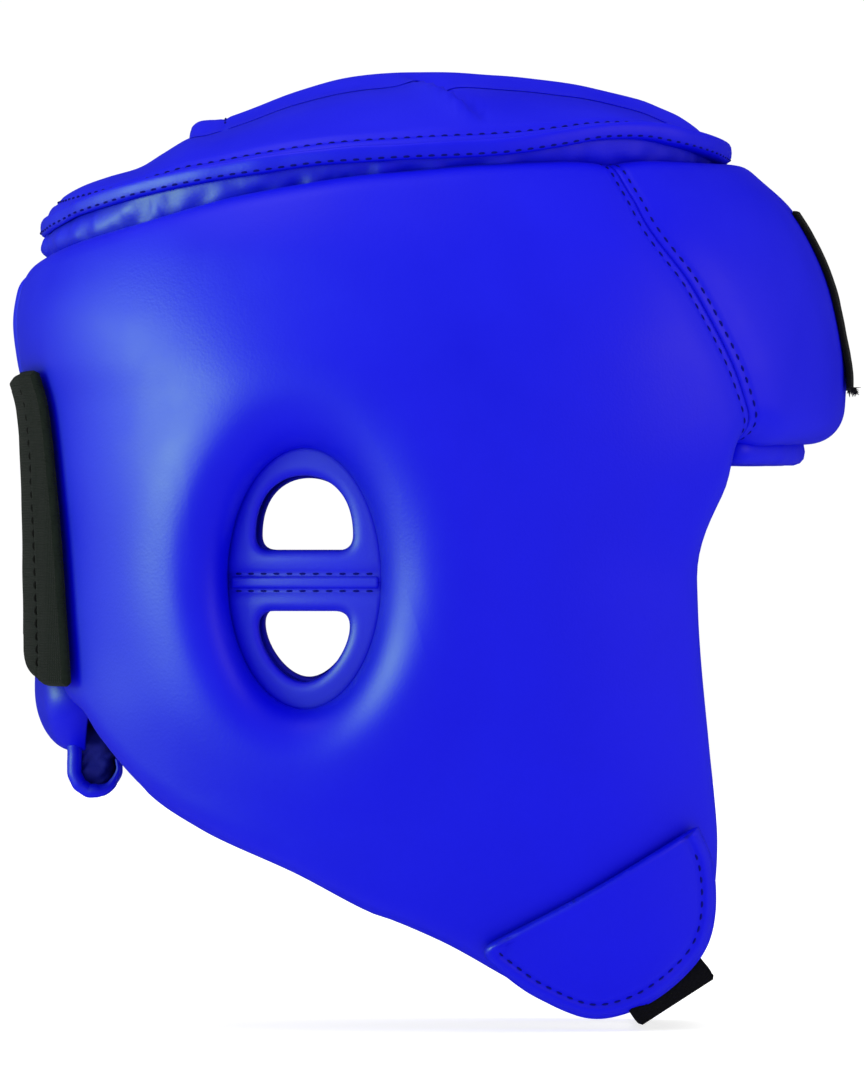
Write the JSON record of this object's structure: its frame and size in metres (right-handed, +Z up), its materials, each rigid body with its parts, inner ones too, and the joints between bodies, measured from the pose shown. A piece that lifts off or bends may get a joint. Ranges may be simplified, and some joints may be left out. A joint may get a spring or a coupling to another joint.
{
  "type": "boxing headgear",
  "caption": "Padded full-face boxing headgear with cheek, brow and crown pads, perforated ear guards, a rear strap, a chin strap and a crown flap that close with hook-and-loop tape.",
  "frame": {"origin": "midpoint between the two ear openings, on the axis through their centres, where the middle of the wearer's head is", "axes": "+X the way the wearer looks, +Y the wearer's left, +Z up"},
  "size_m": [0.2404, 0.2054, 0.2711],
  "materials": {
    "blue_leather": "smooth royal blue synthetic leather, soft semi-gloss",
    "blue_lining": "matt dark blue synthetic suede",
    "firm_foam": "closed-cell foam sheet",
    "soft_foam": "soft open-cell foam",
    "black_strap": "black elastic webbing with a sewn edge",
    "black_hook": "black hook tape",
    "black_loop": "black loop tape with a brushed pile",
    "black_patch": "blank black woven patch"
  },
  "bodies": {
    "shell": {"forehead_cover": "blue_leather", "side_cover_left": "blue_leather", "side_cover_right": "blue_leather", "forehead_outer_foam": "firm_foam", "side_outer_foam_left": "firm_foam", "side_outer_foam_right": "firm_foam", "forehead_inner_foam": "soft_foam", "side_inner_foam_left": "soft_foam", "side_inner_foam_right": "soft_foam", "forehead_lining": "blue_lining", "side_lining_left": "blue_lining", "side_lining_right": "blue_lining", "ear_guard_upper_left": "blue_leather", "ear_guard_lower_left": "blue_leather", "ear_seam_tape_left": "blue_lining", "ear_guard_upper_right": "blue_leather", "ear_guard_lower_right": "blue_leather", "ear_seam_tape_right": "blue_lining", "forehead_patch": "black_patch", "brow_hem": "blue_leather", "crown_cover": "blue_leather", "crown_foam": "soft_foam", "crown_lining": "blue_lining", "crown_hem": "blue_leather", "crown_band": "blue_leather", "crown_flap_anchor": "blue_leather", "crown_loop": "black_loop", "nape_cover": "blue_leather", "nape_foam": "soft_foam", "nape_lining": "blue_lining", "nape_roll": "blue_leather", "rear_strap_anchor": "black_strap", "rear_loop": "black_loop", "chin_loop": "black_loop", "chin_strap_anchor": "blue_leather"},
    "crown_flap": {"crown_flap": "blue_leather", "crown_flap_hook": "black_hook"},
    "rear_strap": {"rear_strap": "black_strap", "rear_hook": "black_hook"},
    "chin_strap": {"chin_strap": "black_strap"},
    "chin_tab": {"chin_tab": "blue_leather", "chin_hook": "black_hook"}
  },
  "joints": [
    {"name": "crown_flap_lift", "type": "hinge", "parent": "shell", "child": "crown_flap", "pos_m": [0.106, 0, 0.1303], "axis": [0, 1, 0], "range_deg": [0, 105]},
    {"name": "rear_strap_peel", "type": "hinge", "parent": "shell", "child": "rear_strap", "pos_m": [-0.0785, -0.0346, 0.015], "axis": [-0.031, -0.01, 0.9995], "range_deg": [0, 100]},
    {"name": "chin_strap_swing", "type": "hinge", "parent": "shell", "child": "chin_strap", "pos_m": [0.102, 0.0503, -0.1166], "axis": [0.7703, -0.3601, 0.5262], "range_deg": [0, 80]},
    {"name": "chin_tab_peel", "type": "hinge", "parent": "chin_strap", "child": "chin_tab", "pos_m": [0.102, -0.0503, -0.1166], "axis": [0.7703, 0.3601, 0.5262], "range_deg": [0, 110]}
  ]
}
